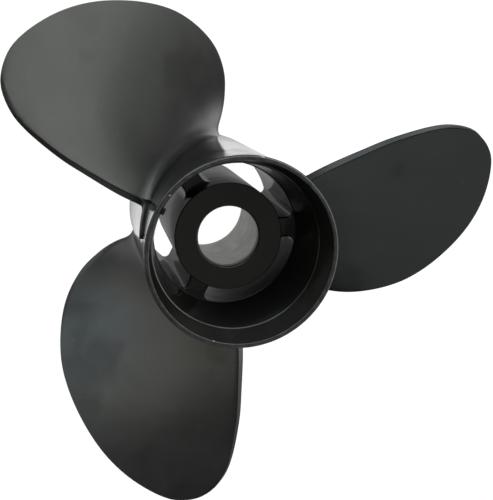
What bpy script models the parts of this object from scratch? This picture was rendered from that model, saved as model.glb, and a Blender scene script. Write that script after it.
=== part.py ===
"""Three-blade through-hub boat propeller, right-hand, cast in aluminium and painted black.

The shaft runs along Z. The origin is on the shaft axis in the plane of the front rim,
and +Z points aft, toward the flared rim. X and Y span the disc that the blades sweep.
"""
import math

import bmesh
import bpy
from mathutils import Vector

# Driving dimensions in metres and radians
BLADE_COUNT = 3
TIP_RADIUS = 0.1747
CASTING_GAP = 0.0003

BARREL_LENGTH = 0.1500
FLARE_LENGTH = 0.0182
FRONT_OUTER_RADIUS = 0.0539
FRONT_INNER_RADIUS = 0.0474
WAIST_RADIUS = 0.0564
WAIST_HEIGHT = 0.1120
RIM_OUTER_RADIUS = 0.05895
RIM_INNER_RADIUS = 0.0559
FLARE_THROAT_RADIUS = 0.0517
RIM_ROUNDING = 0.0010
FLARE_POWER = 1.5
RIB_PLANE_RADIUS = 0.0465
RIB_PLANE_HEIGHT = 0.0909

INNER_HUB_FRONT = 0.0008
INNER_HUB_AFT = 0.1026
INNER_HUB_FRONT_RADIUS = 0.0335
INNER_HUB_AFT_RADIUS = 0.03465
BORE_FRONT_RADIUS = 0.0287
BORE_AFT_RADIUS = 0.0262
SEAT_HOLE_RADIUS = 0.0195
SEAT_WEB_THICKNESS = 0.0060
HUB_CHAMFER = 0.0008

RIB_THICKNESS = 0.0135
RIB_CHAMFER = 0.0015
RIB_FILLET = 0.0042
RIB_ANGLE = math.radians(126.5)

BLADE_ANGLE = math.radians(133.1)
BLADE_PITCH = 0.4505
BLADE_DATUM_HEIGHT = 0.0954
BLADE_DATUM_RADIUS = 0.110
RAKE_SLOPE = 0.283
RAKE_CURVE = -0.48
CAMBER = -0.0188
ROOT_RADIUS = 0.0540
ROOT_THICKNESS = 0.0090
TIP_THICKNESS = 0.0032
THICKNESS_TAPER = 0.7
SECTION_FULLNESS = 0.8
LEADING_EDGE_THICKNESS = 0.0020
TRAILING_ROOT_THICKNESS = 0.0038
TRAILING_TIP_THICKNESS = 0.0026
TRAILING_SLANT = 0.0011
ROOT_FILLET = 0.0085
FILLET_AT_EDGES = 0.3
FILLET_LEADING_SHARE = 0.15
FILLET_TRAILING_SHARE = 0.3
TRAILING_SLANT_POWER = 12
LEADING_SPREAD_POWER = 6
BLADE_FRONT = 0.0010
BLADE_GAP = 0.00045

FIN_HEIGHT = 0.0019
FIN_THICKNESS = 0.0038
FIN_START = 0.459
FIN_END = 0.755

ROUND_SEGMENTS = 72
CHORD_STEPS = 14
SPAN_STEPS = 15
DEPTH_STEPS = 4
RIB_ARC_STEPS = 4
RIB_FILLET_STEPS = 3
CURVE_STEPS = 12
FIN_STEPS = 6

# Blade outline as (radius, arc length round the shaft from the blade's centre line)
LEADING_EDGE = (
    (ROOT_RADIUS, -0.0460), (0.0690, -0.0602), (0.0835, -0.0711), (0.1000, -0.0798),
    (0.1177, -0.0821), (0.1350, -0.0748), (0.1475, -0.0617), (0.1620, -0.0350),
    (0.1702, -0.0117), (TIP_RADIUS, 0.0127),
)
TRAILING_EDGE = (
    (ROOT_RADIUS, 0.0232), (0.0748, 0.0314), (0.0979, 0.0384), (0.1177, 0.0436),
    (0.1412, 0.0469), (0.1554, 0.0457), (0.1673, 0.0393), (0.1737, 0.0269),
    (TIP_RADIUS, 0.0127),
)


def clear_scene():
    for old_object in list(bpy.data.objects):
        bpy.data.objects.remove(old_object, do_unlink=True)


def paint(name, colour, roughness):
    material = bpy.data.materials.new(name)
    material.use_nodes = True
    shader = material.node_tree.nodes["Principled BSDF"]
    shader.inputs["Base Color"].default_value = (*colour, 1.0)
    shader.inputs["Roughness"].default_value = roughness
    shader.inputs["Metallic"].default_value = 0.0
    return material


def add_object(name, shape, material, smooth_angle=math.radians(35.0)):
    """Turns a bmesh into a named object with its faces pointing out."""
    bmesh.ops.recalc_face_normals(shape, faces=shape.faces)
    mesh = bpy.data.meshes.new(name)
    shape.to_mesh(mesh)
    shape.free()
    mesh.shade_smooth()
    mesh.set_sharp_from_angle(angle=smooth_angle)
    mesh.materials.append(material)
    new_object = bpy.data.objects.new(name, mesh)
    bpy.context.scene.collection.objects.link(new_object)
    return new_object


def turned_ring(name, profile, material):
    """Spins a closed (radius, height) profile round the shaft."""
    shape = bmesh.new()
    corners = [shape.verts.new((radius, 0.0, height)) for radius, height in profile]
    edges = [shape.edges.new((corners[i - 1], corners[i])) for i in range(len(corners))]
    bmesh.ops.spin(
        shape, geom=corners + edges, cent=(0, 0, 0), axis=(0, 0, 1),
        angle=math.tau, steps=ROUND_SEGMENTS, use_merge=True,
    )
    return add_object(name, shape, material)


def between(start, end, share):
    return start + (end - start) * share


def outer_radius(height):
    """Outside of the barrel: a slow taper, then the flare into the aft rim."""
    if height < WAIST_HEIGHT:
        return between(FRONT_OUTER_RADIUS, WAIST_RADIUS, height / WAIST_HEIGHT)
    share = (height - WAIST_HEIGHT) / (BARREL_LENGTH - WAIST_HEIGHT)
    return between(WAIST_RADIUS, RIM_OUTER_RADIUS, share ** FLARE_POWER)


def passage_radius(height):
    """Wall of the exhaust passages, which have draft from the rib plane forward."""
    return between(FRONT_INNER_RADIUS, RIB_PLANE_RADIUS, height / RIB_PLANE_HEIGHT)


def inner_hub_radius(height):
    share = (height - INNER_HUB_FRONT) / (INNER_HUB_AFT - INNER_HUB_FRONT)
    return between(INNER_HUB_FRONT_RADIUS, INNER_HUB_AFT_RADIUS, share)


def make_barrel(material):
    throat = BARREL_LENGTH - FLARE_LENGTH - CASTING_GAP / 2
    flare_middle = between(WAIST_HEIGHT, throat, 0.5)
    heights = (HUB_CHAMFER, WAIST_HEIGHT / 2, WAIST_HEIGHT, flare_middle, throat)
    outside = [(outer_radius(height), height) for height in heights]
    front = [(FRONT_INNER_RADIUS, 0.0), (FRONT_OUTER_RADIUS - HUB_CHAMFER, 0.0)]
    inside = [(FLARE_THROAT_RADIUS, throat), (RIB_PLANE_RADIUS, RIB_PLANE_HEIGHT)]
    return turned_ring("hub_barrel", front + outside + inside, material)


def make_flare_ring(material):
    throat = BARREL_LENGTH - FLARE_LENGTH + CASTING_GAP / 2
    middle = between(throat, BARREL_LENGTH, 0.5)
    outside = [(outer_radius(height), height) for height in (throat, middle)]
    rim = [
        (RIM_OUTER_RADIUS, BARREL_LENGTH - RIM_ROUNDING),
        (RIM_OUTER_RADIUS - RIM_ROUNDING, BARREL_LENGTH),
        (RIM_INNER_RADIUS + RIM_ROUNDING, BARREL_LENGTH),
        (RIM_INNER_RADIUS, BARREL_LENGTH - RIM_ROUNDING),
    ]
    return turned_ring("aft_flare_ring", outside + rim + [(FLARE_THROAT_RADIUS, throat)], material)


def make_inner_hub(material):
    web_front = INNER_HUB_AFT - SEAT_WEB_THICKNESS
    profile = [
        (BORE_FRONT_RADIUS, INNER_HUB_FRONT),
        (INNER_HUB_FRONT_RADIUS, INNER_HUB_FRONT),
        (INNER_HUB_AFT_RADIUS, INNER_HUB_AFT - HUB_CHAMFER),
        (INNER_HUB_AFT_RADIUS - HUB_CHAMFER, INNER_HUB_AFT),
        (SEAT_HOLE_RADIUS + HUB_CHAMFER, INNER_HUB_AFT),
        (SEAT_HOLE_RADIUS, INNER_HUB_AFT - HUB_CHAMFER),
        (SEAT_HOLE_RADIUS, web_front),
        (BORE_AFT_RADIUS, web_front),
    ]
    return turned_ring("inner_hub", profile, material)


def quarter_round(rise, radius):
    """How far a fillet stands out at a height above the wall it meets."""
    if rise >= radius:
        return 0.0
    return radius - math.sqrt(radius ** 2 - (radius - rise) ** 2)


def rib_side(inner, outer, half):
    """(radius, sideways) places up one side of a rib, with a fillet at each end."""
    rises = [RIB_FILLET * (step / RIB_FILLET_STEPS) ** 2 for step in range(RIB_FILLET_STEPS + 1)]
    low = [(inner + rise, half + quarter_round(rise, RIB_FILLET)) for rise in rises]
    high = [(outer - rise, half + quarter_round(rise, RIB_FILLET)) for rise in reversed(rises)]
    return low + high


def rib_section(shape, height, trim):
    """One closed loop of a rib: its filleted sides, and arcs along the hub and the barrel wall."""
    inner = inner_hub_radius(height) + CASTING_GAP
    outer = passage_radius(height) - CASTING_GAP
    side = rib_side(inner, outer, RIB_THICKNESS / 2 - trim)
    rising = [(radius, math.asin(sideways / radius)) for radius, sideways in side]
    across = rising[-1][1]
    steps = range(1, RIB_ARC_STEPS)
    outer_arc = [(outer, between(across, -across, step / RIB_ARC_STEPS)) for step in steps]
    across = rising[0][1]
    inner_arc = [(inner, between(-across, across, step / RIB_ARC_STEPS)) for step in steps]
    falling = [(radius, -angle) for radius, angle in reversed(rising)]
    return [
        shape.verts.new((radius * math.cos(angle), radius * math.sin(angle), height))
        for radius, angle in rising + outer_arc + falling + inner_arc
    ]


def skin(shape, loops):
    """Joins closed loops of equal length into walls, with a face at each end."""
    for lower, upper in zip(loops, loops[1:]):
        for i in range(len(lower)):
            shape.faces.new((lower[i - 1], lower[i], upper[i], upper[i - 1]))
    shape.faces.new(reversed(loops[0]))
    shape.faces.new(loops[-1])


def make_rib(name, angle, material):
    shape = bmesh.new()
    stations = (
        (INNER_HUB_FRONT + HUB_CHAMFER, 0.0),
        (RIB_PLANE_HEIGHT / 2, 0.0),
        (RIB_PLANE_HEIGHT - RIB_CHAMFER, 0.0),
        (RIB_PLANE_HEIGHT, RIB_CHAMFER),
    )
    skin(shape, [rib_section(shape, height, trim) for height, trim in stations])
    rib = add_object(name, shape, material)
    rib.rotation_euler.z = angle
    return rib


def smooth_curve(points, count):
    """Points evenly spread along a Catmull-Rom curve through the outline's points."""
    anchors = [Vector(point) for point in points]
    anchors = [2 * anchors[0] - anchors[1]] + anchors + [2 * anchors[-1] - anchors[-2]]
    fine = []
    for before, start, end, after in zip(anchors, anchors[1:], anchors[2:], anchors[3:]):
        for step in range(CURVE_STEPS):
            t = step / CURVE_STEPS
            bend = 2 * before - 5 * start + 4 * end - after
            twist = 3 * start - before - 3 * end + after
            fine.append((2 * start + (end - before) * t + bend * t ** 2 + twist * t ** 3) / 2)
    fine.append(anchors[-2])
    travelled = [0.0]
    for start, end in zip(fine, fine[1:]):
        travelled.append(travelled[-1] + (end - start).length)
    spread = []
    for step in range(count):
        wanted = travelled[-1] * step / (count - 1)
        place = max(i for i in range(len(fine) - 1) if travelled[i] <= wanted)
        share = (wanted - travelled[place]) / (travelled[place + 1] - travelled[place])
        spread.append(fine[place].lerp(fine[place + 1], min(share, 1.0)))
    return spread


def blade_height(radius, angle):
    """Height of the blade's driving face, a raked and cambered helix."""
    reach = radius - BLADE_DATUM_RADIUS
    rise = BLADE_PITCH / math.tau * angle + CAMBER * angle ** 2
    return BLADE_DATUM_HEIGHT + rise + RAKE_SLOPE * reach + RAKE_CURVE * reach ** 2


def section_thickness(radius, chord_share):
    """Fullest at the root and near mid-chord, thin in front and cut square behind."""
    span_share = (radius - ROOT_RADIUS) / (TIP_RADIUS - ROOT_RADIUS)
    fullest = between(ROOT_THICKNESS, TIP_THICKNESS, max(span_share, 0.0) ** THICKNESS_TAPER)
    square = between(TRAILING_ROOT_THICKNESS, TRAILING_TIP_THICKNESS, span_share)
    edge = between(LEADING_EDGE_THICKNESS, square, chord_share)
    return edge + (fullest - edge) * math.sin(math.pi * chord_share) ** SECTION_FULLNESS


def face_normal(radius, angle):
    """Direction square to the helix, pointing aft, at a place on the blade."""
    slope = (BLADE_PITCH / math.tau + 2 * CAMBER * angle) / radius
    around = Vector((-math.sin(angle), math.cos(angle), 0.0))
    return (Vector((0.0, 0.0, 1.0)) - slope * around).normalized()


def root_flare(rise, chord_share):
    """Spread of the fillet into the barrel, widest in mid-chord and small at both edges."""
    leading = chord_share / FILLET_LEADING_SHARE
    trailing = (1.0 - chord_share) / FILLET_TRAILING_SHARE
    width = between(FILLET_AT_EDGES, 1.0, min(leading, trailing, 1.0))
    return quarter_round(rise, ROOT_FILLET) * width


def blade_point(radius, arc, chord_share, depth):
    """A point of a blade section, from the driving face (depth 0) to the back (depth 1)."""
    flare = root_flare(radius - ROOT_RADIUS, chord_share)
    arc += TRAILING_SLANT * depth * chord_share ** TRAILING_SLANT_POWER
    arc -= flare * (1.0 - chord_share) ** LEADING_SPREAD_POWER
    angle = arc / radius
    face = Vector((radius * math.cos(angle), radius * math.sin(angle), blade_height(radius, angle)))
    offset = between(flare, -section_thickness(radius, chord_share) - flare, depth)
    point = face + face_normal(radius, angle) * offset
    point.z = max(point.z, BLADE_FRONT)
    root_share = (TIP_RADIUS - radius) / (TIP_RADIUS - ROOT_RADIUS)
    seat = outer_radius(point.z) + BLADE_GAP
    point.xy = point.xy.normalized() * (radius + (seat - ROOT_RADIUS) * root_share)
    return point


def section_outline():
    """Steps (along the chord, through the thickness) once round a blade section."""
    face = [(step, 0) for step in range(CHORD_STEPS + 1)]
    trailing = [(CHORD_STEPS, depth) for depth in range(1, DEPTH_STEPS)]
    back = [(step, DEPTH_STEPS) for step in range(CHORD_STEPS, -1, -1)]
    leading = [(0, depth) for depth in range(DEPTH_STEPS - 1, 0, -1)]
    return face + trailing + back + leading


def make_blade(name, turn, material):
    """Two skins over the blade's outline, joined along its edges, its tip and its root."""
    shape = bmesh.new()
    leading = smooth_curve(LEADING_EDGE, SPAN_STEPS + 1)
    trailing = smooth_curve(TRAILING_EDGE, SPAN_STEPS + 1)
    placed = {}

    def corner(row, step, depth):
        if (row, step, depth) not in placed:
            radius, arc = leading[row].lerp(trailing[row], step / CHORD_STEPS)
            point = blade_point(radius, arc, step / CHORD_STEPS, depth / DEPTH_STEPS)
            placed[row, step, depth] = shape.verts.new(point)
        return placed[row, step, depth]

    outline = section_outline()
    for row in range(SPAN_STEPS - 1):
        for start, end in zip(outline, outline[1:] + outline[:1]):
            lower = (corner(row, *start), corner(row, *end))
            upper = (corner(row + 1, *end), corner(row + 1, *start))
            shape.faces.new(lower + upper)
    for row in (0, SPAN_STEPS - 1):
        for step in range(CHORD_STEPS):
            for depth in range(DEPTH_STEPS):
                near = (corner(row, step, depth), corner(row, step + 1, depth))
                far = (corner(row, step + 1, depth + 1), corner(row, step, depth + 1))
                shape.faces.new(near + far)
    blade = add_object(name, shape, material)
    blade.rotation_euler.z = turn
    return blade


def make_root_fin(name, turn, material):
    """The low fin that carries the trailing edge on along the barrel toward the rim."""
    shape = bmesh.new()
    loops = []
    for step in range(FIN_STEPS + 1):
        angle = between(FIN_START, FIN_END, step / FIN_STEPS)
        face_radius = WAIST_RADIUS
        height = blade_height(face_radius, angle)
        normal = face_normal(face_radius, angle)
        loop = []
        for rise, side in ((0.0, 0), (FIN_HEIGHT, 0), (FIN_HEIGHT, 1), (0.0, 1)):
            face = Vector((face_radius * math.cos(angle), face_radius * math.sin(angle), height))
            point = face - normal * FIN_THICKNESS * side
            point.xy = point.xy.normalized() * (outer_radius(point.z) + CASTING_GAP + rise)
            loop.append(shape.verts.new(point))
        loops.append(loop)
    skin(shape, loops)
    fin = add_object(name, shape, material)
    fin.rotation_euler.z = turn
    return fin


def build():
    clear_scene()
    casting = paint("black_hub_paint", (0.012, 0.012, 0.011), 0.45)
    blades = paint("black_blade_paint", (0.020, 0.021, 0.020), 0.50)
    make_barrel(casting)
    make_flare_ring(casting)
    make_inner_hub(casting)
    for number in range(BLADE_COUNT):
        turn = -math.tau * number / BLADE_COUNT
        make_rib(f"passage_rib_{number + 1}", RIB_ANGLE + turn, casting)
        make_blade(f"blade_{number + 1}", BLADE_ANGLE + turn, blades)
        make_root_fin(f"root_fin_{number + 1}", BLADE_ANGLE + turn, blades)


build()
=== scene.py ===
import math

import bmesh
import bpy
from mathutils import Matrix, Vector


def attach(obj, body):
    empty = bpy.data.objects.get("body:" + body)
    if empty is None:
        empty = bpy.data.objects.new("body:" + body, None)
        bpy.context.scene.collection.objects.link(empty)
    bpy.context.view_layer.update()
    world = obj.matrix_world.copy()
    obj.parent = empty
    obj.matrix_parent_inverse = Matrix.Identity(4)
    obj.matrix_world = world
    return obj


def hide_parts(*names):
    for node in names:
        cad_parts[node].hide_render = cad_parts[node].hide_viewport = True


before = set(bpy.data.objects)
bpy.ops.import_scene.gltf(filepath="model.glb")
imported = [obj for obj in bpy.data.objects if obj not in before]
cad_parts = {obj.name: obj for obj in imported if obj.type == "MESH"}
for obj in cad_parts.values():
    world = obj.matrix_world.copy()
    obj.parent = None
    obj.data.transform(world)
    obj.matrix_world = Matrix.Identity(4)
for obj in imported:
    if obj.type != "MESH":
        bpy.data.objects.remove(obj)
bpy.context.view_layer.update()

# Hub barrel
# The outer tube of the one-piece aluminium casting, which flares into the aft rim. It is cast with
# draft on its inner wall, turned on its two end faces and painted satin black.
MM = 0.001
BARREL_LENGTH = 150.0 * MM
FRONT_OUTER_RADIUS = 53.9 * MM
FRONT_INNER_RADIUS = 47.4 * MM
FRONT_ROUNDING = 0.5 * MM
WAIST_RADIUS = 56.4 * MM
WAIST_HEIGHT = 112.0 * MM
FLARE_POWER = 1.5
RIM_OUTER_RADIUS = 58.95 * MM
RIM_OUTER_ROUNDING = 1.5 * MM
RIM_INNER_RADIUS = 55.9 * MM
RIM_INNER_ROUNDING = 0.45 * MM
THROAT_HEIGHT = 131.8 * MM
THROAT_OUTER_RADIUS = 52.1 * MM
THROAT_INNER_RADIUS = 51.4 * MM
THROAT_STEP = 0.3 * MM
THROAT_ROUNDING = 0.35 * MM
RIB_PLANE_HEIGHT = 90.9 * MM
RIB_PLANE_RADIUS = 46.5 * MM
LEDGE_WIDTH = 0.45 * MM
LEDGE_ROUNDING = 0.3 * MM
PROFILE_STEPS = 8
TURNED_STEPS = 192
TURNED_SEGMENTS = 4
CORNER_TOLERANCE = 0.02 * MM
SHARP_ANGLE = math.radians(40.0)

PAINT_IOR = 1.5
HUB_DARK = (0.0055, 0.0054, 0.0049)
HUB_LIGHT = (0.0090, 0.0088, 0.0082)
HUB_ROUGHNESS = 0.16
ROUGHNESS_BELOW = 0.04
ROUGHNESS_ABOVE = 0.05
DUST_COLOR = (0.08, 0.08, 0.076)
PEEL_DEPTH = 0.03 * MM
RIPPLE_DEPTH = 0.5 * MM
RUBBED_COLOR = (0.040, 0.040, 0.043)
RUBBED_DEPTH = 0.8 * MM
CHIP_COLOR = (0.42, 0.42, 0.41)
CHIP_THRESHOLD = 0.67
BARE_COLOR = (0.76, 0.76, 0.74)
BARE_METALLIC = 0.85
BARE_RADIUS = 29.2 * MM
BARE_HEIGHT = 96.0 * MM
BORE_ROUGHNESS_RISE = 0.25


def between(start, end, share):
    return start + (end - start) * share


def barrel_radius(height):
    """Outside of the barrel: a slow taper, then the flare into the aft rim."""
    if height < WAIST_HEIGHT:
        return between(FRONT_OUTER_RADIUS, WAIST_RADIUS, height / WAIST_HEIGHT)
    share = (height - WAIST_HEIGHT) / (BARREL_LENGTH - WAIST_HEIGHT)
    return between(WAIST_RADIUS, RIM_OUTER_RADIUS, share ** FLARE_POWER)


def is_at(vert, place):
    """Whether a vertex lies on the ring that one (radius, height) corner makes."""
    return math.dist((vert.co.xy.length, vert.co.z), place) < CORNER_TOLERANCE


def turn_on_shaft(profile, rounding):
    """Spins a closed (radius, height) profile and rounds the named corners of it."""
    shape = bmesh.new()
    corners = [shape.verts.new((radius, 0.0, height)) for radius, height in profile]
    edges = [shape.edges.new((corners[i - 1], corners[i])) for i in range(len(corners))]
    bmesh.ops.spin(
        shape, geom=corners + edges, cent=(0, 0, 0), axis=(0, 0, 1),
        angle=math.tau, steps=TURNED_STEPS, use_merge=True,
    )
    bmesh.ops.recalc_face_normals(shape, faces=shape.faces)
    for place, offset in rounding:
        ring = [edge for edge in shape.edges if all(is_at(vert, place) for vert in edge.verts)]
        bmesh.ops.bevel(
            shape, geom=ring, offset=offset, affect="EDGES", segments=TURNED_SEGMENTS, profile=0.5,
            material=-1, clamp_overlap=True,
        )
    return shape


def cast_piece(name, shape, paint, slot, *nodes):
    """Turns a shape into a piece of the casting that stands for its CAD nodes."""
    bmesh.ops.recalc_face_normals(shape, faces=shape.faces)
    mesh = bpy.data.meshes.new(name)
    shape.to_mesh(mesh)
    shape.free()
    mesh.shade_smooth()
    mesh.set_sharp_from_angle(angle=SHARP_ANGLE)
    mesh.materials.append(paint)
    piece = bpy.data.objects.new(name, mesh)
    bpy.context.scene.collection.objects.link(piece)
    weighted = piece.modifiers.new("even_shading", "WEIGHTED_NORMAL")
    weighted.keep_sharp = True
    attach(piece, "root")
    if nodes:
        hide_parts(*nodes)


def feed(tree, value, socket):
    """Links another node's output to a socket, or sets it to a plain number or colour."""
    if isinstance(value, bpy.types.NodeSocket):
        tree.links.new(value, socket)
    elif isinstance(value, tuple):
        socket.default_value = (*value, 1.0)
    else:
        socket.default_value = value


def own_place(tree):
    """A point's place on the piece."""
    return tree.nodes.new("ShaderNodeTexCoord").outputs["Object"]


def cloud(tree, scale, detail, roughness=0.5):
    """Cloudy noise over the piece."""
    texture = tree.nodes.new("ShaderNodeTexNoise")
    texture.inputs["Scale"].default_value = scale
    texture.inputs["Detail"].default_value = detail
    texture.inputs["Roughness"].default_value = roughness
    tree.links.new(own_place(tree), texture.inputs["Vector"])
    return texture.outputs["Fac"]


def spread(tree, value, low, high, start, end, interpolation="LINEAR"):
    """Goes from start to end while a value goes from low to high."""
    ramp = tree.nodes.new("ShaderNodeMapRange")
    ramp.interpolation_type = interpolation
    ramp.inputs["From Min"].default_value = low
    ramp.inputs["From Max"].default_value = high
    ramp.inputs["To Min"].default_value = start
    ramp.inputs["To Max"].default_value = end
    tree.links.new(value, ramp.inputs["Value"])
    return ramp.outputs["Result"]


def blend(tree, share, first, second):
    """A colour between two colours."""
    mix = tree.nodes.new("ShaderNodeMix")
    mix.data_type = "RGBA"
    feed(tree, share, mix.inputs["Factor"])
    feed(tree, first, mix.inputs["A"])
    feed(tree, second, mix.inputs["B"])
    return mix.outputs["Result"]


def calculate(tree, operation, first, second):
    step = tree.nodes.new("ShaderNodeMath")
    step.operation = operation
    feed(tree, first, step.inputs[0])
    feed(tree, second, step.inputs[1])
    return step.outputs[0]


def dust(tree):
    """Small scattered specks, one in each cell of the texture."""
    cells = tree.nodes.new("ShaderNodeTexVoronoi")
    cells.inputs["Scale"].default_value = 70.0
    cells.inputs["Randomness"].default_value = 1.0
    tree.links.new(own_place(tree), cells.inputs["Vector"])
    return spread(tree, cells.outputs["Distance"], low=0.020, high=0.032, start=1.0, end=0.0)


def bump(tree, height, strength, depth):
    node = tree.nodes.new("ShaderNodeBump")
    node.inputs["Strength"].default_value = strength
    node.inputs["Distance"].default_value = depth
    tree.links.new(height, node.inputs["Height"])
    return node


def satin_black(name, dark, light, roughness, add_wear):
    """Sprayed satin paint, mottled and dusty, with the wear that its place on the casting gives it."""
    paint = bpy.data.materials.new(name)
    paint.use_nodes = True
    tree = paint.node_tree
    shader = tree.nodes["Principled BSDF"]
    shader.inputs["IOR"].default_value = PAINT_IOR

    patches = spread(tree, cloud(tree, scale=28.0, detail=4.0), low=0.35, high=0.65, start=0.0, end=1.0)
    grain = spread(tree, cloud(tree, scale=900.0, detail=2.0), low=0.3, high=0.7, start=0.0, end=0.35)
    color = blend(tree, grain, blend(tree, patches, dark, light), light)
    haze = cloud(tree, scale=45.0, detail=5.0, roughness=0.6)
    smudges = cloud(tree, scale=17.0, detail=3.0, roughness=0.55)
    smoothest, roughest = roughness - ROUGHNESS_BELOW, roughness + ROUGHNESS_ABOVE
    finish = {
        "Base Color": blend(tree, dust(tree), color, DUST_COLOR),
        "Roughness": spread(tree, haze, low=0.3, high=0.7, start=smoothest, end=roughest),
        "Specular IOR Level": spread(tree, smudges, low=0.57, high=0.68, start=0.50, end=0.34),
    }
    add_wear(tree, finish)
    for socket, value in finish.items():
        tree.links.new(value, shader.inputs[socket])

    peel = bump(tree, cloud(tree, scale=1300.0, detail=3.0, roughness=0.6), strength=0.25, depth=PEEL_DEPTH)
    ripple = bump(tree, cloud(tree, scale=55.0, detail=2.0), strength=0.30, depth=RIPPLE_DEPTH)
    tree.links.new(peel.outputs["Normal"], ripple.inputs["Normal"])
    tree.links.new(ripple.outputs["Normal"], shader.inputs["Normal"])
    return paint


def height_on_shaft(tree):
    split = tree.nodes.new("ShaderNodeSeparateXYZ")
    tree.links.new(own_place(tree), split.inputs["Vector"])
    return split.outputs["Z"]


def distance_from_shaft(tree):
    flat = tree.nodes.new("ShaderNodeVectorMath")
    flat.operation = "MULTIPLY"
    flat.inputs[1].default_value = (1.0, 1.0, 0.0)
    tree.links.new(own_place(tree), flat.inputs[0])
    reach = tree.nodes.new("ShaderNodeVectorMath")
    reach.operation = "LENGTH"
    tree.links.new(flat.outputs["Vector"], reach.inputs[0])
    return reach.outputs["Value"]


def wear_rim(tree, finish):
    """Rubs the paint of the aft rim grey, and chips it there in small spots."""
    at_rim = calculate(tree, "GREATER_THAN", height_on_shaft(tree), BARREL_LENGTH - RUBBED_DEPTH)
    patches = cloud(tree, scale=240.0, detail=4.0, roughness=0.7)
    rubbing = spread(tree, patches, low=0.35, high=0.65, start=0.2, end=0.9)
    rubbed = calculate(tree, "MULTIPLY", rubbing, at_rim)
    spots = cloud(tree, scale=160.0, detail=3.0, roughness=0.6)
    chipped = calculate(tree, "MULTIPLY", calculate(tree, "GREATER_THAN", spots, CHIP_THRESHOLD), at_rim)
    color = blend(tree, rubbed, finish["Base Color"], RUBBED_COLOR)
    finish["Base Color"] = blend(tree, chipped, color, CHIP_COLOR)


def bare_bore(tree, finish):
    """Lays the bore bare to its machined metal, under a thin and cloudy haze of paint."""
    near_shaft = calculate(tree, "LESS_THAN", distance_from_shaft(tree), BARE_RADIUS)
    before_web = calculate(tree, "LESS_THAN", height_on_shaft(tree), BARE_HEIGHT)
    bore = calculate(tree, "MULTIPLY", near_shaft, before_web)
    patches = cloud(tree, scale=120.0, detail=4.0, roughness=0.6)
    bare = calculate(tree, "MULTIPLY", bore, spread(tree, patches, low=0.3, high=0.7, start=0.75, end=1.0))
    duller = calculate(tree, "MULTIPLY", bore, BORE_ROUGHNESS_RISE)
    finish["Base Color"] = blend(tree, bare, finish["Base Color"], BARE_COLOR)
    finish["Metallic"] = calculate(tree, "MULTIPLY", bare, BARE_METALLIC)
    finish["Roughness"] = calculate(tree, "ADD", finish["Roughness"], duller)


def wear_hub(tree, finish):
    wear_rim(tree, finish)
    bare_bore(tree, finish)


hub_paint = satin_black("hub_paint", HUB_DARK, HUB_LIGHT, HUB_ROUGHNESS, wear_hub)

outside_heights = [WAIST_HEIGHT * step / PROFILE_STEPS for step in range(1, PROFILE_STEPS + 1)]
outside_heights += [
    between(WAIST_HEIGHT, BARREL_LENGTH, step / PROFILE_STEPS) for step in range(1, PROFILE_STEPS + 1)
]
outside = [(barrel_radius(height), height) for height in outside_heights]
front = [(FRONT_INNER_RADIUS, 0.0), (FRONT_OUTER_RADIUS, 0.0)]
inside = [
    (RIM_INNER_RADIUS, BARREL_LENGTH),
    (THROAT_OUTER_RADIUS, THROAT_HEIGHT),
    (THROAT_INNER_RADIUS, THROAT_HEIGHT - THROAT_STEP),
    (RIB_PLANE_RADIUS + LEDGE_WIDTH, RIB_PLANE_HEIGHT),
    (RIB_PLANE_RADIUS, RIB_PLANE_HEIGHT),
]
barrel = turn_on_shaft(
    front + outside + inside,
    [
        ((FRONT_OUTER_RADIUS, 0.0), FRONT_ROUNDING),
        ((FRONT_INNER_RADIUS, 0.0), FRONT_ROUNDING),
        ((RIM_OUTER_RADIUS, BARREL_LENGTH), RIM_OUTER_ROUNDING),
        ((RIM_INNER_RADIUS, BARREL_LENGTH), RIM_INNER_ROUNDING),
        ((THROAT_INNER_RADIUS, THROAT_HEIGHT - THROAT_STEP), THROAT_ROUNDING),
        ((RIB_PLANE_RADIUS, RIB_PLANE_HEIGHT), LEDGE_ROUNDING),
    ],
)
cast_piece("barrel_casting", barrel, hub_paint, "hub_paint", "hub_barrel", "aft_flare_ring")

# Throat lug
# A small raised pad on the passage wall at the throat line, beside the first rib.
# It is part of the casting, under the same paint.
LUG_ANGLE = math.radians(156.0)
LUG_LENGTH = 4.4 * MM
LUG_WIDTH = 2.4 * MM
LUG_HEIGHT = 1.6 * MM
LUG_RADIUS = THROAT_INNER_RADIUS - LUG_WIDTH / 4
LUG_PLACE = THROAT_HEIGHT - 0.2 * MM
LUG_ROUNDING = 0.5 * MM
EDGE_SEGMENTS = 3


def turn_round_shaft(shape, angle):
    bmesh.ops.rotate(shape, verts=shape.verts, cent=(0, 0, 0), matrix=Matrix.Rotation(angle, 3, "Z"))


lug = bmesh.new()
bmesh.ops.create_cube(lug, size=1.0)
bmesh.ops.scale(lug, verts=lug.verts, vec=(LUG_WIDTH, LUG_LENGTH, LUG_HEIGHT))
bmesh.ops.bevel(
    lug, geom=lug.edges[:], offset=LUG_ROUNDING, affect="EDGES", segments=EDGE_SEGMENTS, profile=0.5,
    material=-1,
)
bmesh.ops.translate(lug, verts=lug.verts, vec=(LUG_RADIUS, 0, LUG_PLACE))
turn_round_shaft(lug, LUG_ANGLE)
cast_piece("throat_lug", lug, hub_paint, "hub_paint")

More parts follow.
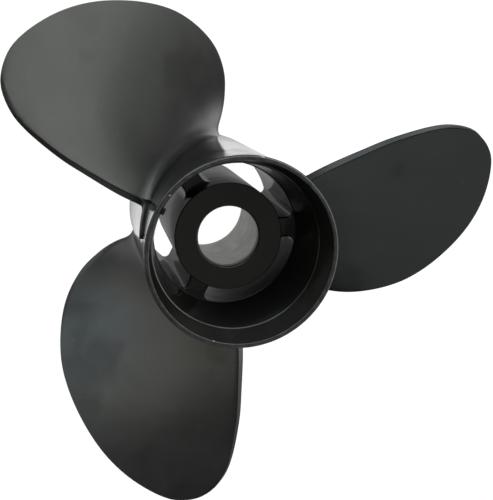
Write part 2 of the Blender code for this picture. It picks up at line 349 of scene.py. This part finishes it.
# Inner hub
# The cup in the middle of the casting, which the rubber hub kit is pressed into from the front.
# Its aft web is turned flat as the seat for the thrust washer, and the shaft passes its hole.
HUB_FRONT = 0.8 * MM
HUB_FRONT_RADIUS = 33.5 * MM
HUB_FRONT_ROUNDING = 0.6 * MM
HUB_AFT = 102.6 * MM
HUB_AFT_RADIUS = 34.65 * MM
HUB_AFT_ROUNDING = 0.7 * MM
BORE_FRONT_RADIUS = 28.7 * MM
BORE_AFT_RADIUS = 26.2 * MM
BORE_ROUNDING = 0.5 * MM
SHAFT_HOLE_RADIUS = 19.5 * MM
SHAFT_HOLE_ROUNDING = 1.3 * MM
WEB_THICKNESS = 6.0 * MM
WEB_FRONT = HUB_AFT - WEB_THICKNESS

inner_hub = turn_on_shaft(
    [
        (BORE_FRONT_RADIUS, HUB_FRONT),
        (HUB_FRONT_RADIUS, HUB_FRONT),
        (HUB_AFT_RADIUS, HUB_AFT),
        (SHAFT_HOLE_RADIUS, HUB_AFT),
        (SHAFT_HOLE_RADIUS, WEB_FRONT),
        (BORE_AFT_RADIUS, WEB_FRONT),
    ],
    [
        ((HUB_AFT_RADIUS, HUB_AFT), HUB_AFT_ROUNDING),
        ((SHAFT_HOLE_RADIUS, HUB_AFT), SHAFT_HOLE_ROUNDING),
        ((SHAFT_HOLE_RADIUS, WEB_FRONT), BORE_ROUNDING),
        ((HUB_FRONT_RADIUS, HUB_FRONT), HUB_FRONT_ROUNDING),
        ((BORE_FRONT_RADIUS, HUB_FRONT), BORE_ROUNDING),
    ],
)
cast_piece("inner_hub_casting", inner_hub, hub_paint, "hub_paint", "inner_hub")

# Passage ribs
# Three thick ribs join the inner hub to the barrel, with the exhaust passages between them.
# They are cast with the hub, with wide fillets along both walls and soft aft corners.
RIB_COUNT = 3
RIB_ANGLE = math.radians(126.5)
RIB_THICKNESS = 13.5 * MM
RIB_FRONT_FILLET = 4.5 * MM
RIB_AFT_FILLET = 4.2 * MM
RIB_AFT = RIB_PLANE_HEIGHT - 0.6 * MM
RIB_EDGE = 1.4 * MM
RIB_EDGE_STEPS = 5
RIB_SINK = 0.4 * MM
RIB_COLUMNS = 8
RIB_ROWS = 24
DEPTH_TOLERANCE = 0.001


def fillet_spread(rise, radius):
    """How far a quarter-round fillet stands out at a height above the wall it meets."""
    if rise >= radius:
        return 0.0
    reach = radius - max(rise, 0.0)
    return radius - math.sqrt(radius ** 2 - reach ** 2)


def thicken(shape, skin, depth, reached):
    """Extrudes faces of a slab and writes the depth share that the new ones have reached."""
    grown = bmesh.ops.extrude_face_region(shape, geom=skin)
    for item in grown["geom"]:
        if isinstance(item, bmesh.types.BMVert):
            item[depth] = reached


def sheet_with_depth(columns, rows):
    """A flat sheet thickened into a slab, with its across, along and depth shares in layers."""
    shape = bmesh.new()
    bmesh.ops.create_grid(shape, x_segments=columns, y_segments=rows, size=0.5)
    across = shape.verts.layers.float.new("across")
    along = shape.verts.layers.float.new("along")
    depth = shape.verts.layers.float.new("depth")
    for vert in shape.verts:
        vert[across] = vert.co.x + 0.5
        vert[along] = vert.co.y + 0.5
    thicken(shape, shape.faces[:], depth, 1.0)
    return shape, across, along, depth


def raise_skin(shape, depth, steps):
    """Extrudes the far skin on in small steps; its depth share counts on from 1 to 2."""
    for step in range(steps):
        reached = 1.0 + step / steps
        inner = reached - DEPTH_TOLERANCE
        skin = [face for face in shape.faces if all(vert[depth] > inner for vert in face.verts)]
        thicken(shape, skin, depth, reached + 1.0 / steps)


def rib_wall_radii(height):
    """Radii of the hub's side and of the passage wall at a height."""
    hub = between(HUB_FRONT_RADIUS, HUB_AFT_RADIUS, (height - HUB_FRONT) / (HUB_AFT - HUB_FRONT))
    wall = between(FRONT_INNER_RADIUS, RIB_PLANE_RADIUS, height / RIB_PLANE_HEIGHT)
    return hub, wall


def rib_point(across, along, depth):
    """A point of a rib, from its front (depth 0) to its aft edge (1) and over its rounding (2)."""
    rounding = math.radians(90.0) * max(depth - 1.0, 0.0)
    height = between(HUB_FRONT, RIB_AFT - RIB_EDGE, min(depth, 1.0)) + RIB_EDGE * math.sin(rounding)
    hub_wall, barrel_wall = rib_wall_radii(height)
    swing = math.sin(math.pi * (along - 0.5)) / 2 + 0.5
    radius = between(hub_wall - RIB_SINK, barrel_wall + RIB_SINK, swing)
    to_wall = min(radius - hub_wall, barrel_wall - radius)
    fillet = between(RIB_FRONT_FILLET, RIB_AFT_FILLET, height / RIB_PLANE_HEIGHT)
    half = RIB_THICKNESS / 2 + fillet_spread(to_wall, fillet) - RIB_EDGE * (1.0 - math.cos(rounding))
    sideways = between(-half, half, across)
    return math.sqrt(max(radius ** 2 - sideways ** 2, 0.0)), sideways, height


for number in range(RIB_COUNT):
    rib, across, along, depth = sheet_with_depth(RIB_COLUMNS, RIB_ROWS)
    raise_skin(rib, depth, RIB_EDGE_STEPS)
    for vert in rib.verts:
        vert.co = rib_point(vert[across], vert[along], vert[depth])
    turn_round_shaft(rib, RIB_ANGLE - math.tau * number / RIB_COUNT)
    cast_piece(f"rib_casting_{number + 1}", rib, hub_paint, "hub_paint", f"passage_rib_{number + 1}")

# Blades
# Three equal blades of the same casting, on a raked and lightly cambered helix, with wide root fillets.
# The trailing edge is cut square and thick, and the leading edge is thin and rounded.
BLADE_COUNT = 3
BLADE_ANGLE = math.radians(133.1)
BLADE_PITCH = 450.5 * MM
BLADE_DATUM_HEIGHT = 95.4 * MM
BLADE_DATUM_RADIUS = 110.0 * MM
RAKE_SLOPE = 0.283
RAKE_CURVE = -0.48
CAMBER = -18.8 * MM
ROOT_RADIUS = 54.0 * MM
TIP_RADIUS = 174.7 * MM
ROOT_THICKNESS = 9.0 * MM
TIP_THICKNESS = 3.2 * MM
THICKNESS_TAPER_POWER = 0.7
SECTION_POWER = 0.8
LEADING_EDGE_THICKNESS = 2.0 * MM
TRAILING_ROOT_THICKNESS = 3.8 * MM
TRAILING_TIP_THICKNESS = 2.6 * MM
TRAILING_SLANT = 1.1 * MM
TRAILING_SLANT_POWER = 12
ROOT_FILLET = 8.5 * MM
FILLET_AT_EDGES = 0.3
FILLET_LEADING_SHARE = 0.08
FILLET_TRAILING_SHARE = 0.3
FILLET_SPREAD_POWER = 6
BLADE_SINK = 0.25 * MM
EDGE_ROUNDING = 0.45 * MM
FRONT_TRIM = 0.1 * MM
CHORD_STEPS = 40
SPAN_STEPS = 56
SPAN_POWER = 1.5
PAST_FIRST = 0.001
AT_LAST = 0.999

BLADE_DARK = (0.0115, 0.0117, 0.0112)
BLADE_LIGHT = (0.0165, 0.0167, 0.0160)
BLADE_ROUGHNESS = 0.30
# Trailing corner: the matt roughness there is real wear, and the darker colour is a painted shade line.
CORNER_SHADE_COLOR = (0.004, 0.004, 0.004)
CORNER_EDGE_SHARE = 0.995
CORNER_FACE_SHARE = 0.05
MATT_ROUGHNESS_RISE = 0.4
MATT_SPECULAR_DROP = 0.3

# Outline of a blade in millimetres: radius, and arc round the shaft from the centre line
LEADING_OUTLINE = (
    (54.0, -46.0), (69.0, -60.2), (83.5, -71.1), (100.0, -79.8), (117.7, -82.1),
    (135.0, -74.8), (147.5, -61.7),
)
TIP_OUTLINE = (
    (147.5, -61.7), (162.0, -35.0), (170.2, -11.7), (174.4, 12.7), (173.7, 26.9), (167.3, 39.3),
)
TRAILING_OUTLINE = (
    (54.0, 23.2), (74.8, 31.4), (97.9, 38.4), (117.7, 43.6), (141.2, 46.9), (155.4, 45.7), (167.3, 39.3),
)


def curve_through(points, share, before=None, after=None):
    """A point at a share of the length of a smooth curve through an outline's points."""
    anchors = [Vector(point) * MM for point in points]
    first = Vector(before) * MM if before else 2 * anchors[0] - anchors[1]
    last = Vector(after) * MM if after else 2 * anchors[-1] - anchors[-2]
    lengths = [(end - start).length for start, end in zip(anchors, anchors[1:])]
    wanted = share * sum(lengths)
    anchors = [first] + anchors + [last]
    for place, length in enumerate(lengths):
        if wanted <= length or place == len(lengths) - 1:
            break
        wanted -= length
    t = min(wanted / length, 1.0)
    start, end = anchors[place + 1], anchors[place + 2]
    bend = 2 * anchors[place] - 5 * start + 4 * end - anchors[place + 3]
    twist = 3 * start - anchors[place] - 3 * end + anchors[place + 3]
    return (2 * start + (end - anchors[place]) * t + bend * t * t + twist * t ** 3) / 2


def blade_outline_point(chord, span):
    """A (radius, arc) place inside the outline, drawn in from its four sides."""
    root = Vector((ROOT_RADIUS, between(LEADING_OUTLINE[0][1], TRAILING_OUTLINE[0][1], chord) * MM))
    tip = curve_through(TIP_OUTLINE, chord, LEADING_OUTLINE[-2], TRAILING_OUTLINE[-2])
    leading = curve_through(LEADING_OUTLINE, span, after=TIP_OUTLINE[1])
    trailing = curve_through(TRAILING_OUTLINE, span, after=TIP_OUTLINE[-2])
    sides = between(leading, trailing, chord) + between(root, tip, span)
    low = between(Vector(LEADING_OUTLINE[0]), Vector(TRAILING_OUTLINE[0]), chord) * MM
    high = between(Vector(TIP_OUTLINE[0]), Vector(TIP_OUTLINE[-1]), chord) * MM
    return sides - between(low, high, span)


def driving_face(radius, angle):
    """A point of the driving face, which is a raked and cambered helix."""
    reach = radius - BLADE_DATUM_RADIUS
    rise = BLADE_PITCH / math.tau * angle + CAMBER * angle ** 2
    height = BLADE_DATUM_HEIGHT + rise + RAKE_SLOPE * reach + RAKE_CURVE * reach ** 2
    return Vector((radius * math.cos(angle), radius * math.sin(angle), height))


def blade_normal(radius, angle):
    """Direction square to the helix, pointing aft."""
    slope = (BLADE_PITCH / math.tau + 2 * CAMBER * angle) / radius
    around = Vector((-math.sin(angle), math.cos(angle), 0.0))
    return (Vector((0.0, 0.0, 1.0)) - slope * around).normalized()


def seat_on_barrel(point, radius):
    """Moves a point in or out so that the blade's root follows the barrel's taper."""
    seat = barrel_radius(point.z) - BLADE_SINK
    share = (TIP_RADIUS - radius) / (TIP_RADIUS - ROOT_RADIUS)
    point.xy = point.xy.normalized() * (radius + (seat - ROOT_RADIUS) * share)
    return point


def off_the_face(radius, angle, offset):
    """A point at a distance aft of the driving face, or in front of it where that is negative."""
    return seat_on_barrel(driving_face(radius, angle) + blade_normal(radius, angle) * offset, radius)


def blade_thickness(radius, chord):
    """Fullest at the root and near mid-chord, square at the trailing edge."""
    share = (radius - ROOT_RADIUS) / (TIP_RADIUS - ROOT_RADIUS)
    tapered = min(max(share, 0.0), 1.0) ** THICKNESS_TAPER_POWER
    fullest = between(ROOT_THICKNESS, TIP_THICKNESS, tapered)
    square = between(TRAILING_ROOT_THICKNESS, TRAILING_TIP_THICKNESS, share)
    edge = between(LEADING_EDGE_THICKNESS, square, chord)
    return edge + (fullest - edge) * math.sin(math.pi * chord) ** SECTION_POWER


def root_fillet(radius, chord):
    """Spread of the fillet at the root, widest in mid-chord and small at both edges."""
    inward = min(chord / FILLET_LEADING_SHARE, (1.0 - chord) / FILLET_TRAILING_SHARE, 1.0)
    return fillet_spread(radius - ROOT_RADIUS, ROOT_FILLET) * between(FILLET_AT_EDGES, 1.0, inward)


def blade_point(chord, span, depth):
    """A point of the blade, from the driving face (depth 0) to the back (depth 1)."""
    radius, arc = blade_outline_point(chord, span)
    fillet = root_fillet(radius, chord)
    slant = TRAILING_SLANT * depth * chord ** TRAILING_SLANT_POWER
    arc += slant - fillet * (1.0 - chord) ** FILLET_SPREAD_POWER
    offset = between(fillet, -blade_thickness(radius, chord) - fillet, depth)
    return off_the_face(radius, arc / radius, offset)


def crowd(share):
    """Moves even steps toward both ends, for finer rows at an edge."""
    return share - math.sin(math.tau * share) / (2 * math.tau)


def is_side(face, depth):
    """Whether a face joins the two skins of a slab."""
    return len({round(vert[depth]) for vert in face.verts}) > 1


def round_edges(shape, depth, wanted):
    """Rounds the edges where a slab's skins meet its sides, among the vertices that are wanted."""
    rim = [
        edge for edge in shape.edges
        if edge.verts[0][depth] == edge.verts[1][depth]
        and sum(is_side(face, depth) for face in edge.link_faces) == 1
        and all(wanted(vert) for vert in edge.verts)
    ]
    bmesh.ops.bevel(
        shape, geom=rim, offset=EDGE_ROUNDING, affect="EDGES", segments=EDGE_SEGMENTS, profile=0.5,
        material=-1,
    )


def trim_front(shape):
    """Cuts off what reaches past the plane of the front rim, and closes the cut."""
    bmesh.ops.bisect_plane(
        shape, geom=shape.verts[:] + shape.edges[:] + shape.faces[:],
        plane_co=(0, 0, FRONT_TRIM), plane_no=(0, 0, -1), clear_outer=True,
    )
    bmesh.ops.holes_fill(shape, edges=[edge for edge in shape.edges if edge.is_boundary], sides=0)


def share_of_slab(tree, name):
    """A share that the slab's vertices carry in one of their layers."""
    layer = tree.nodes.new("ShaderNodeAttribute")
    layer.attribute_name = name
    return layer.outputs["Fac"]


def wear_and_shade_trailing_corner(tree, finish):
    """Rubs the paint matt on the driving face's corner along each trailing edge and fin end, and darkens
    its colour there as a painted shade line.
    """
    at_edge = calculate(tree, "GREATER_THAN", share_of_slab(tree, "across"), CORNER_EDGE_SHARE)
    on_face = calculate(tree, "LESS_THAN", share_of_slab(tree, "depth"), CORNER_FACE_SHARE)
    corner = calculate(tree, "MULTIPLY", at_edge, on_face)
    patches = spread(tree, cloud(tree, scale=180.0, detail=3.0), low=0.35, high=0.6, start=0.5, end=1.0)
    matt_and_shade = calculate(tree, "MULTIPLY", corner, patches)
    rougher = calculate(tree, "MULTIPLY", matt_and_shade, MATT_ROUGHNESS_RISE)
    dimmer = calculate(tree, "MULTIPLY", matt_and_shade, MATT_SPECULAR_DROP)
    # Painted shade: the corner's colour is darkened into a dark line.
    finish["Base Color"] = blend(tree, matt_and_shade, finish["Base Color"], CORNER_SHADE_COLOR)
    finish["Roughness"] = calculate(tree, "ADD", finish["Roughness"], rougher)
    finish["Specular IOR Level"] = calculate(tree, "SUBTRACT", finish["Specular IOR Level"], dimmer)


blade_paint = satin_black("blade_paint", BLADE_DARK, BLADE_LIGHT, BLADE_ROUGHNESS, wear_and_shade_trailing_corner)

for number in range(BLADE_COUNT):
    blade, across, along, depth = sheet_with_depth(CHORD_STEPS, SPAN_STEPS)
    for vert in blade.verts:
        vert.co = blade_point(crowd(vert[across]), vert[along] ** SPAN_POWER, vert[depth])
    round_edges(blade, depth, lambda vert: vert[along] > PAST_FIRST or vert[across] > AT_LAST)
    trim_front(blade)
    turn_round_shaft(blade, BLADE_ANGLE - math.tau * number / BLADE_COUNT)
    cast_piece(f"blade_casting_{number + 1}", blade, blade_paint, "blade_paint", f"blade_{number + 1}")

# Root fins
# A low fin carries each trailing edge on along the barrel, and ends square short of the rim.
# It is cast with the blade on the same helix, with a round corner where it leaves the edge.
FIN_START = 0.40
FIN_CORNER = 0.430
FIN_END = 0.755
FIN_CORNER_HEIGHT = 1.9 * MM
FIN_END_HEIGHT = 1.8 * MM
FIN_CORNER_ROUND = 4.5 * MM
FIN_START_THICKNESS = 3.6 * MM
FIN_THICKNESS = 4.2 * MM
FIN_FACE_STEP = 0.05 * MM
FIN_SINK = 0.8 * MM
FIN_STEPS = 40
FIN_ROWS = 4


def fin_height(angle):
    """Height of the fin above the barrel, from the blade's corner to its square end."""
    share = (angle - FIN_CORNER) / (FIN_END - FIN_CORNER)
    straight = between(FIN_CORNER_HEIGHT, FIN_END_HEIGHT, max(share, 0.0))
    past_corner = max(angle - FIN_CORNER, 0.0) * WAIST_RADIUS
    return straight + fillet_spread(past_corner, FIN_CORNER_ROUND)


def fin_point(across, along, depth):
    """A point of the fin, from its start to its end, its base to its top and its face to its back."""
    angle = between(FIN_START, FIN_END, across)
    radius = ROOT_RADIUS + between(-FIN_SINK, fin_height(angle), along)
    thickness = between(FIN_START_THICKNESS, FIN_THICKNESS, across)
    return off_the_face(radius, angle, -between(FIN_FACE_STEP, thickness, depth))


for number in range(BLADE_COUNT):
    fin, across, along, depth = sheet_with_depth(FIN_STEPS, FIN_ROWS)
    for vert in fin.verts:
        vert.co = fin_point(vert[across], vert[along], vert[depth])
    round_edges(fin, depth, lambda vert: vert[along] > AT_LAST or vert[across] > AT_LAST)
    turn_round_shaft(fin, BLADE_ANGLE - math.tau * number / BLADE_COUNT)
    cast_piece(f"fin_casting_{number + 1}", fin, blade_paint, "blade_paint", f"root_fin_{number + 1}")

# White table and backdrop
# The propeller stands on its front rim on a plain white table, burnt out to white for the lens as the
# backdrop is. The paint mirrors a painted pool of light on it, with painted shade under the hub and
# between two blades.
FLOOR_SIDE = 3.0
FLOOR_DROP = 0.3 * MM
TABLE_COLOR = (0.05, 0.05, 0.05, 1.0)
TABLE_ROUGHNESS = 0.9
WHITE = (1.0, 1.0, 1.0, 1.0)
SEEN_BY_LENS = 1.0
BACKDROP_REFLECTED = 0.02
POOL_PLACE = (-0.04, 0.0, 0.0)
HUB_SHADE_PLACE = (0.0, 0.0, 0.0)
BLADE_SHADE_PLACE = (0.045, 0.098, 0.0)


def round_patch(tree, place, near, far, inside, outside):
    """A brightness that changes softly between two distances from a place on the table."""
    away = tree.nodes.new("ShaderNodeVectorMath")
    away.operation = "DISTANCE"
    away.inputs[1].default_value = place
    tree.links.new(own_place(tree), away.inputs[0])
    return spread(tree, away.outputs["Value"], near, far, inside, outside, interpolation="SMOOTHSTEP")


def burn_out(tree, socket, reflected):
    """Makes a strength full white to the lens, and something else in reflections."""
    path = tree.nodes.new("ShaderNodeLightPath")
    strength = tree.nodes.new("ShaderNodeMapRange")
    feed(tree, reflected, strength.inputs["To Min"])
    strength.inputs["To Max"].default_value = SEEN_BY_LENS
    tree.links.new(path.outputs["Is Camera Ray"], strength.inputs["Value"])
    tree.links.new(strength.outputs["Result"], socket)


table = bpy.data.materials.new("white_table")
table.use_nodes = True
table_tree = table.node_tree
table_shader = table_tree.nodes["Principled BSDF"]
table_shader.inputs["Base Color"].default_value = TABLE_COLOR
table_shader.inputs["Roughness"].default_value = TABLE_ROUGHNESS
table_shader.inputs["Emission Color"].default_value = WHITE
# Painted light and shade in the table's glow, seen only in reflections: a pool of light, and shadows under
# the hub and between two blades.
pool = round_patch(table_tree, POOL_PLACE, near=0.085, far=0.13, inside=1.4, outside=0.15)
hub_shade = round_patch(table_tree, HUB_SHADE_PLACE, near=0.045, far=0.070, inside=0.22, outside=1.0)
blade_shade = round_patch(table_tree, BLADE_SHADE_PLACE, near=0.022, far=0.046, inside=0.15, outside=1.0)
shades = calculate(table_tree, "MULTIPLY", hub_shade, blade_shade)
shaded_pool = calculate(table_tree, "MULTIPLY", pool, shades)
burn_out(table_tree, table_shader.inputs["Emission Strength"], shaded_pool)

floor_shape = bmesh.new()
bmesh.ops.create_grid(floor_shape, x_segments=1, y_segments=1, size=FLOOR_SIDE / 2)
bmesh.ops.translate(floor_shape, verts=floor_shape.verts, vec=(0, 0, -FLOOR_DROP))
floor_mesh = bpy.data.meshes.new("floor")
floor_shape.to_mesh(floor_mesh)
floor_shape.free()
floor_mesh.materials.append(table)
floor = bpy.data.objects.new("floor", floor_mesh)
bpy.context.scene.collection.objects.link(floor)

world = bpy.data.worlds.new("studio")
world.use_nodes = True
bpy.context.scene.world = world
background = world.node_tree.nodes["Background"]
background.inputs["Color"].default_value = WHITE
burn_out(world.node_tree, background.inputs["Strength"], BACKDROP_REFLECTED)

# Studio lights
# Soft boxes stand round the table and over it, and each is turned to the middle of the propeller.
# Their tints are the slight warm, green and blue casts of the studio.
LIGHT_DISTANCE = 1.5
KEY_TINT = (0.96, 1.0, 0.93)
WARM_TINT = (1.0, 1.0, 0.90)
COOL_TINT = (0.76, 0.92, 1.0)
FILL_TINT = (0.90, 0.97, 1.0)
CEILING_TINT = (1.0, 1.0, 0.92)


def soft_box(name, azimuth, elevation, width, height, radiance, tint):
    """A rectangular soft light, placed by its angles in degrees and sized in metres."""
    lamp = bpy.data.lights.new(name, "AREA")
    lamp.shape = "RECTANGLE"
    lamp.size = width
    lamp.size_y = height
    lamp.energy = radiance * math.pi * width * height
    lamp.color = tint
    light = bpy.data.objects.new(name, lamp)
    around, up = math.radians(azimuth), math.radians(elevation)
    direction = Vector((math.cos(around) * math.cos(up), math.sin(around) * math.cos(up), math.sin(up)))
    light.location = Vector((0, 0, BARREL_LENGTH / 2)) + direction * LIGHT_DISTANCE
    light.rotation_euler = direction.to_track_quat("Z", "Y").to_euler()
    bpy.context.scene.collection.objects.link(light)


soft_box("key_box", 20.0, 38.0, 2.4, 0.85, 3.0, KEY_TINT)
soft_box("low_key_box", 50.0, 16.0, 1.2, 0.55, 1.8, KEY_TINT)
soft_box("front_box", 355.0, 10.0, 1.4, 0.7, 0.8, KEY_TINT)
soft_box("side_box", 292.0, 24.0, 2.4, 1.5, 0.5, FILL_TINT)
soft_box("back_box", 182.0, 18.0, 1.2, 1.3, 1.0, WARM_TINT)
soft_box("warm_fill_box", 147.0, 22.0, 0.6, 1.55, 1.55, WARM_TINT)
soft_box("cool_fill_box", 123.0, 31.0, 0.6, 1.1, 2.1, COOL_TINT)
soft_box("low_fill_box", 123.0, 6.0, 0.6, 0.45, 1.5, WARM_TINT)
soft_box("rim_box", 90.0, 58.0, 1.0, 0.7, 2.4, FILL_TINT)
soft_box("low_side_box", 80.0, 20.0, 1.3, 0.7, 2.8, FILL_TINT)
soft_box("ceiling_box", 315.0, 70.0, 1.2, 0.9, 0.22, CEILING_TINT)

# Camera
# It looks down on the aft rim from beside the shaft line, as the photograph does. Its place, turn
# and lens make the hub's circles and the blades' outlines fall where they do there.
CAMERA_PLACE = (-0.120196, 0.129633, 0.693327)
CAMERA_TURN = (-13.714, -11.705, 4.052)
CAMERA_LENS = 69.763
CAMERA_SENSOR = 36.0

camera_data = bpy.data.cameras.new("camera")
camera_data.lens = CAMERA_LENS
camera_data.sensor_width = CAMERA_SENSOR
camera = bpy.data.objects.new("camera", camera_data)
camera.location = CAMERA_PLACE
camera.rotation_euler = [math.radians(angle) for angle in CAMERA_TURN]
bpy.context.scene.collection.objects.link(camera)
bpy.context.scene.camera = camera
bpy.context.scene.view_settings.view_transform = "Standard"
